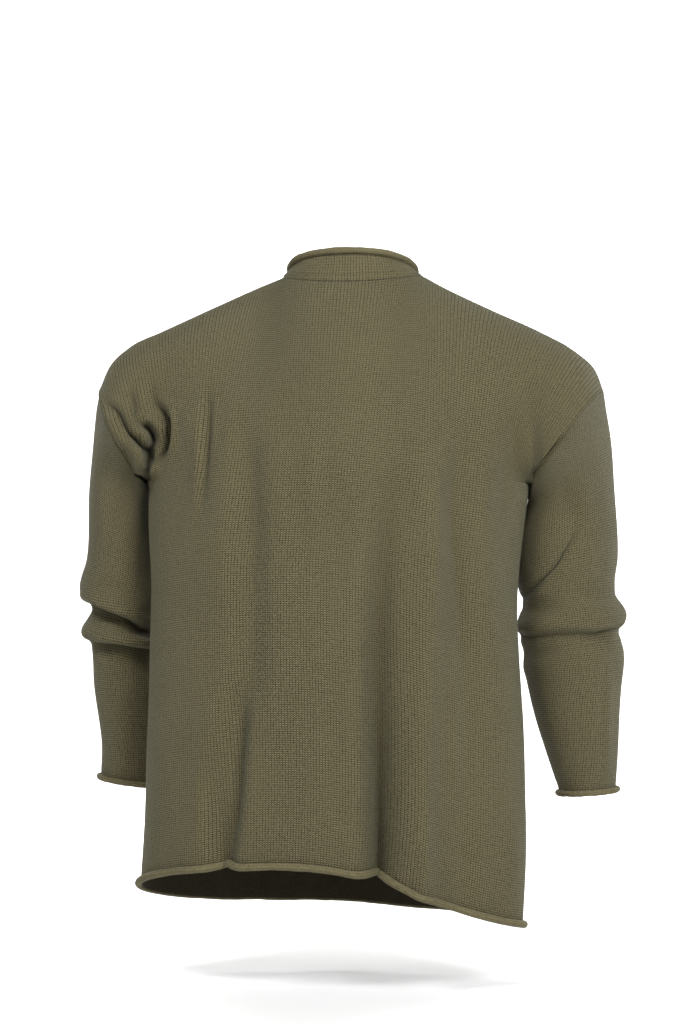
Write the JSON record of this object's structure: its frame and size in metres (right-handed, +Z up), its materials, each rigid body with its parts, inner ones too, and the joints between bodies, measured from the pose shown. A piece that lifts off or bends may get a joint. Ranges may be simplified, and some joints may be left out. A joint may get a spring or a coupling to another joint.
{
  "type": "mock turtleneck sweater",
  "caption": "Hollow fine-knit pullover in its worn shape: low stand collar, dropped shoulders and long sleeves, with collar, hem and cuffs that roll outward by themselves.",
  "frame": {"origin": "middle of the neck opening, level with the top of the shoulder slope, where the wearer's shoulders hold the garment", "axes": "+Z up, the wearer faces -Y, +X towards the wearer's left"},
  "size_m": [0.6243, 0.2753, 0.7491],
  "materials": {
    "back_knit": "matt olive plain knit",
    "front_knit": "matt olive plain knit",
    "sleeve_left_knit": "matt olive plain knit",
    "sleeve_right_knit": "matt olive plain knit",
    "collar_knit": "matt olive plain knit"
  },
  "bodies": {
    "root": {"back_panel": "back_knit", "front_panel": "front_knit", "sleeve_left": "sleeve_left_knit", "sleeve_right": "sleeve_right_knit", "collar": "collar_knit"}
  },
  "joints": []
}
